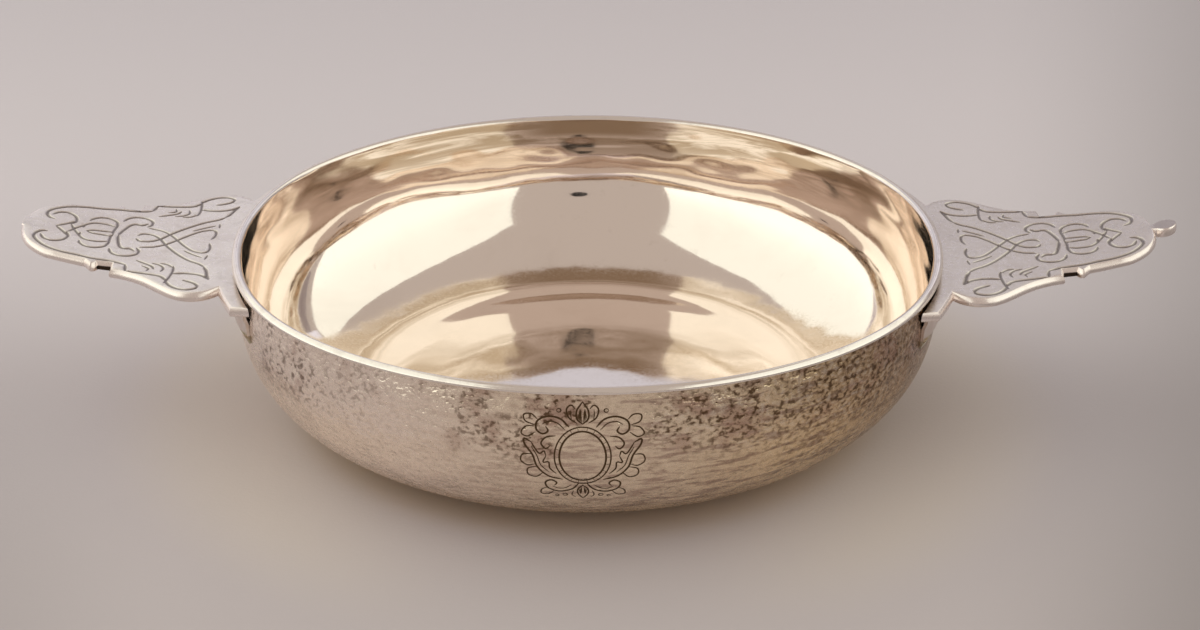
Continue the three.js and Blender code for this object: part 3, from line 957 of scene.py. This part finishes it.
# The filed edge of an ear from its top face to its bottom face, as [inset, drop]
EDGE_SECTION = (
    (0.9, 0.0), (0.77, 0.03), (0.62, 0.12), (0.45, 0.29), (0.28, 0.55), (0.14, 0.88), (0.04, 1.25),
    (0.0, 1.6), (0.05, 1.9), (0.2, 2.15), (0.45, 2.3),
)


# How much of the edge section's inset the root and the knob get
ROOT_INSET = 0.2
KNOB_INSET = 0.35
# The painted shadow in the nick of an ear's edge: where it is along and aside, and its deepest
# place along
NICK_ALONG = (117.3, 121.0)
NICK_ASIDE = (16.9, 19.8)
NICK_MIDDLE = 119.2


def nick_shadow_share(points, share):
    """The cuts' shares of an ear's points, with the painted shadow of the nick in place of them
    where the nick is.
    """
    along, aside = np.abs(points[:, 0]), np.abs(points[:, 1])
    drop = ear_top(along) - points[:, 2]
    near = (along > NICK_ALONG[0]) & (along < NICK_ALONG[1])
    near &= (aside > NICK_ASIDE[0]) & (aside < NICK_ASIDE[1])
    wedge = drop - 0.3 - 0.3 * np.abs(along - NICK_MIDDLE)
    return np.where(near, np.clip(wedge / 0.3, 0, 1), share)


def build_ear(side, turn, has_knob):
    outline = ear_outline(has_knob)
    free = np.hypot(*outline.T) > SEAT_RADIUS + ear_gap(ROOT_ANGLE) + 0.2
    inset_share = np.where(free, 1.0, ROOT_INSET)
    inset_share[outline[:, 0] > EAR_END + 0.5] = KNOB_INSET
    strokes = cuts(EAR_HALF, EAR_CUT_WIDTH)
    top_edge = inset_ring(outline, EDGE_SECTION[0][0] * inset_share)
    flat, top_faces = engraved_sheet(top_edge, strokes, 1.6)
    depth, share = cut_depth(flat, strokes)
    top = np.column_stack([flat, ear_top(flat[:, 0]) - depth])
    low_edge = inset_ring(outline, EDGE_SECTION[-1][0] * inset_share)
    flat, low_faces = engraved_sheet(low_edge, [], 2.4)
    bottom = np.column_stack([flat, ear_top(flat[:, 0]) - EAR_THICKNESS])
    points = [*top, *bottom]
    faces = top_faces + [[len(top) + i for i in face[::-1]] for face in low_faces]
    kinds = [0] * len(faces)
    count = len(outline)
    start = len(points)
    for inset, drop in EDGE_SECTION:
        ring = inset_ring(outline, inset * inset_share)
        points += list(np.column_stack([ring, ear_top(ring[:, 0]) - drop]))
    for low in range(start, start + (len(EDGE_SECTION) - 1) * count, count):
        for i in range(count):
            j = (i + 1) % count
            faces.append([low + i, low + count + i, low + count + j, low + j])
            kinds.append(1)
    points = np.array(points) @ np.array(
        [[math.cos(turn), math.sin(turn), 0], [-math.sin(turn), math.cos(turn), 0], [0, 0, 1]]
    )
    near_wall = 1 - smooth_step(np.hypot(points[:, 0], points[:, 1]), SEAT_RADIUS, SEAT_RADIUS + 4)
    points = beaten(points, near_wall)
    made = mesh_object(f"ear_{side}_skin", points, faces, [EAR, EAR_EDGE], kinds)
    share = np.concatenate([share, np.zeros(len(points) - len(share))])
    set_patina_and_shade(made, nick_shadow_share(points, share))
    weld(made)
    made.data.set_sharp_from_angle(angle=math.radians(21))
    dress(made, f"ear_{side}")


def weld(made):
    shape = bmesh.new()
    shape.from_mesh(made.data)
    bmesh.ops.remove_doubles(shape, verts=shape.verts, dist=2e-6)
    bmesh.ops.recalc_face_normals(shape, faces=shape.faces)
    shape.to_mesh(made.data)
    shape.free()


def wall_band(name, turn, section, materials, sharp_angle):
    """A band round the wall under an ear. section(angle) is a loop of [offset, height]."""
    steps = 140
    loops = []
    for angle in np.linspace(-FLANGE_REACH, FLANGE_REACH, steps + 1):
        loop = []
        for offset, height in section(angle):
            radius = wall_radius_at(height) + offset
            loop.append((radius * math.cos(angle + turn), radius * math.sin(angle + turn), height))
        loops.append(loop)
    count = len(loops[0])
    points = beaten(np.array([p for loop in loops for p in loop]))
    faces = []
    for row in range(steps):
        faces += quads(row * count, (row + 1) * count, count)
    faces.append(list(range(count))[::-1])
    faces.append([steps * count + i for i in range(count)])
    return mesh_object(name, points, faces, materials, sharp_angle=sharp_angle)


def build_flange(side, turn):
    def section(angle):
        outer, inner = [], []
        for down in np.linspace(0, 1, 13):
            height = FLANGE_TOP - FLANGE_HEIGHT * down
            gap = 0.05 + (standoff(angle) - 0.05) * (1 - smooth_step(down, 0.1, 0.5))
            thickness = FLANGE_THICKNESS + (FLANGE_FOOT_THICKNESS - FLANGE_THICKNESS) * down
            thickness *= 1 - 0.45 * smooth_step(abs(angle), 0.40, 0.458)
            outer.append((gap + thickness, height))
            inner.insert(0, (gap, height))
        return outer + inner

    made = wall_band(f"ear_flange_{side}_skin", turn, section, [FLANGE], 35)
    dress(made, f"ear_flange_{side}")


def build_solder(side, turn):
    def section(angle):
        loop = []
        for down in np.linspace(0, 1, 9):
            offset = 0.05 + FILLET_FOOT_THICKNESS
            offset += (FLANGE_FOOT_THICKNESS - FILLET_FOOT_THICKNESS) * (1 - down) ** 1.7
            loop.append((offset, FLANGE_FOOT - FILLET_HEIGHT * down))
        loop.append((0.05, FLANGE_FOOT - FILLET_HEIGHT))
        loop.append((0.05, FLANGE_FOOT))
        return loop

    made = wall_band(f"ear_solder_{side}_skin", turn, section, [SOLDER], 40)
    dress(made, f"ear_solder_{side}")


# Studio. Lengths from here on are metres

# The paper's near and side colours are painted shade
PAPER_NEAR = rgb(0.545, 0.49, 0.50)
PAPER_FAR = rgb(0.71, 0.655, 0.70)
PAPER_SIDE = rgb(0.20, 0.18, 0.18)
PAPER_BEHIND = rgb(0.42, 0.39, 0.44)
# Painted light that lifts the bowl's shadow beside it
PAPER_SHADOW_LIFT = rgb(0.86, 0.76, 0.62)
# Painted contact shadow round the bowl's foot
PAPER_CONTACT_SHADOW = rgb(0.72, 0.54, 0.38)
SWEEP_LEFT = rgb(0.86, 0.82, 0.90)
SWEEP_RIGHT = rgb(0.56, 0.52, 0.55)
PANEL_WHITE = rgb(1.04, 1.04, 0.93)
CARD_GREY = rgb(0.62, 0.61, 0.67)
WORLD_GREY = rgb(0.50, 0.435, 0.39)
LENS_BLACK = rgb(0.02, 0.02, 0.02)

FLOOR_HALF_WIDTH = 3.0
SWEEP_START = 0.9
SWEEP_RADIUS = 0.6
# The height of the panels and of the foot of their sides. Their corners are in panel heights
PANEL_HEIGHT = 0.9
PANEL_SIDE_FOOT = 0.3
PANEL_REACH = 6.0
PANEL_LEFT = [(-0.30, 1.63), (-0.30, -0.25), (-2.85, -6.0), (-6.0, -6.0), (-6.0, 2.2)]
PANEL_RIGHT = [(0.41, 1.5), (6.0, 1.1), (6.0, -6.0), (2.75, -6.0), (0.41, -0.5)]
BACK_CARD = [(-0.8, 1.45, 0.55), (0.8, 1.45, 0.55), (0.8, 1.6, 1.05), (-0.8, 1.6, 1.05)]

# The camera was fitted to the photo's rim and ears
CAMERA_PLACE = Vector((0.01133, -0.53143, 0.26566))
CAMERA_HEADING = math.radians(-0.873)
CAMERA_PITCH = math.radians(24.584)
CAMERA_ROLL = math.radians(0.042)
CAMERA_LENS = 68.03
LENS_RADIUS = 0.03
LENS_ASIDE = 0.026


def studio_mesh(name, points, faces, item):
    mesh = bpy.data.meshes.new(name)
    mesh.from_pydata(points, [], faces)
    mesh.materials.append(item)
    made = bpy.data.objects.new(name, mesh)
    bpy.context.scene.collection.objects.link(made)
    return made


def paint_paper(nodes):
    """Pale paper with the photo's soft changes from near to far and to the sides."""
    place = place_of(nodes)
    across = nodes.axis(place, "X")
    depth = nodes.axis(place, "Y")
    foot = nodes.length(place)
    # Painted shade darkens the paper near the camera and towards its sides
    colour = nodes.mix(nodes.band(depth, -0.25, 0.12), PAPER_NEAR, PAPER_FAR)
    fan = nodes.math("DIVIDE", across, nodes.math("ADD", depth, 0.62))
    left = nodes.times(nodes.band(fan, -0.17, -0.27, 0.0, 0.22), nodes.band(depth, 0.15, -0.1))
    side = nodes.most(nodes.band(fan, 0.15, 0.31, 0.0, 0.6), left)
    colour = nodes.mix(side, colour, PAPER_SIDE)
    colour = nodes.mix(nodes.band(depth, 0.12, 0.42, 0.0, 0.3), colour, PAPER_BEHIND)
    # Painted light lifts the bowl's shadow on the paper beside it
    aside = nodes.band(nodes.math("ABSOLUTE", across), 0.02, 0.08)
    shadow_lift = nodes.times(nodes.band(foot, 0.128, 0.098), aside, 0.3)
    colour = nodes.mix(shadow_lift, colour, PAPER_SHADOW_LIFT)
    # A warm brown ring round the bowl's foot is a painted contact shadow
    colour = nodes.mix(nodes.band(foot, 0.080, 0.066, 0.0, 0.4), colour, PAPER_CONTACT_SHADOW)
    sweep = nodes.mix(nodes.band(across, -0.7, 0.7), SWEEP_LEFT, SWEEP_RIGHT)
    return {
        "Base Color": nodes.mix(nodes.band(depth, 0.4, 0.9), colour, sweep),
        "Roughness": 0.85,
        "Specular IOR Level": 0.1,
        "Normal": nodes.bump(nodes.noise(place, 900, 3, 0.6), 0.1, 0.0005),
    }


def build_floor():
    """A floor of paper that sweeps up behind the bowl."""
    rows = [(-FLOOR_HALF_WIDTH, 0.0), (SWEEP_START, 0.0)]
    for step in range(1, 13):
        turn = step / 12 * math.radians(70)
        away = SWEEP_START + SWEEP_RADIUS * math.sin(turn)
        rows.append((away, SWEEP_RADIUS * (1 - math.cos(turn))))
    rows.append((rows[-1][0] + 0.25, rows[-1][1] + 0.65))
    points = [(side * FLOOR_HALF_WIDTH, y, z) for y, z in rows for side in (-1, 1)]
    faces = [(i, i + 1, i + 3, i + 2) for i in range(0, 2 * len(rows) - 2, 2)]
    made = studio_mesh("floor", points, faces, material("paper", paint_paper))
    made.data.shade_smooth()
    made.location.z = -0.00005


def glow_card(name, points, faces, colour, near, far, bright):
    """A card that the camera doesn't see. Its level is 1 near the middle and bright far away."""
    made, nodes = new_material(name)
    aside = nodes.math("ABSOLUTE", nodes.axis(place_of(nodes), "X"))
    glow = nodes.add("ShaderNodeEmission", colour, nodes.band(aside, near, far, 1.0, bright))
    nodes.add("ShaderNodeOutputMaterial", glow.outputs[0])
    card = studio_mesh(name, points, faces, made)
    card.visible_camera = False


def panel_light(name, corners, bright):
    """A large white panel above the bowl, with a low side at its far end."""
    points = [(x * PANEL_HEIGHT, y * PANEL_HEIGHT, PANEL_HEIGHT) for x, y in corners]
    faces = [tuple(range(len(points)))]
    first, last = [i for i, (x, _) in enumerate(corners) if abs(x) == PANEL_REACH]
    points += [(points[i][0], points[i][1], PANEL_SIDE_FOOT) for i in (first, last)]
    faces.append((first, last, len(points) - 1, len(points) - 2))
    glow_card(name, points, faces, PANEL_WHITE, 0.35, 2.4, bright)


def build_studio():
    build_floor()
    panel_light("panel_left", PANEL_LEFT, 1.25)
    panel_light("panel_right", PANEL_RIGHT, 1.15)
    # A low card far behind the bowl, for its floor's front and its rim's ends to mirror
    glow_card("back_card", BACK_CARD, [(0, 1, 2, 3)], CARD_GREY, 0.20, 0.30, 1.35)
    world = bpy.data.worlds.new("studio")
    world.use_nodes = True
    nodes = Nodes(world.node_tree)
    back = nodes.add("ShaderNodeBackground", WORLD_GREY, 1.0)
    nodes.add("ShaderNodeOutputWorld", back.outputs[0])
    bpy.context.scene.world = world
    bpy.context.scene.view_settings.view_transform = "Standard"


def build_lens(camera):
    """The dark lens that the bright bowl mirrors."""
    steps = 32
    ring = []
    for step in range(steps):
        turn = step / steps * 2 * math.pi
        aside = LENS_ASIDE + LENS_RADIUS * math.cos(turn)
        ring.append(camera.matrix_world @ Vector((aside, LENS_RADIUS * math.sin(turn), 0.004)))
    black = material("lens_black", lambda nodes: {"Base Color": LENS_BLACK})
    lens = studio_mesh("lens", ring, [tuple(range(steps))], black)
    lens.visible_camera = False
    lens.visible_shadow = False


def build_camera():
    level = math.cos(CAMERA_PITCH)
    east, north = math.sin(CAMERA_HEADING) * level, math.cos(CAMERA_HEADING) * level
    ahead = Vector((east, north, -math.sin(CAMERA_PITCH)))
    right = ahead.cross(Vector((0, 0, 1))).normalized()
    up = right.cross(ahead)
    right, up = (
        right * math.cos(CAMERA_ROLL) + up * math.sin(CAMERA_ROLL),
        up * math.cos(CAMERA_ROLL) - right * math.sin(CAMERA_ROLL),
    )
    data = bpy.data.cameras.new("camera")
    data.lens = CAMERA_LENS
    data.sensor_width = 36.0
    data.clip_start = 0.05
    camera = bpy.data.objects.new("camera", data)
    turn = Matrix((right, up, -ahead)).transposed().to_4x4()
    camera.matrix_world = Matrix.Translation(CAMERA_PLACE) @ turn
    bpy.context.scene.collection.objects.link(camera)
    bpy.context.scene.camera = camera
    build_lens(camera)


build_camera()
build_studio()
build_bowl()
build_rim_wire()
for side, turn, has_knob in (("right", 0.0, True), ("left", math.pi, False)):
    build_ear(side, turn, has_knob)
    build_flange(side, turn)
    build_solder(side, turn)
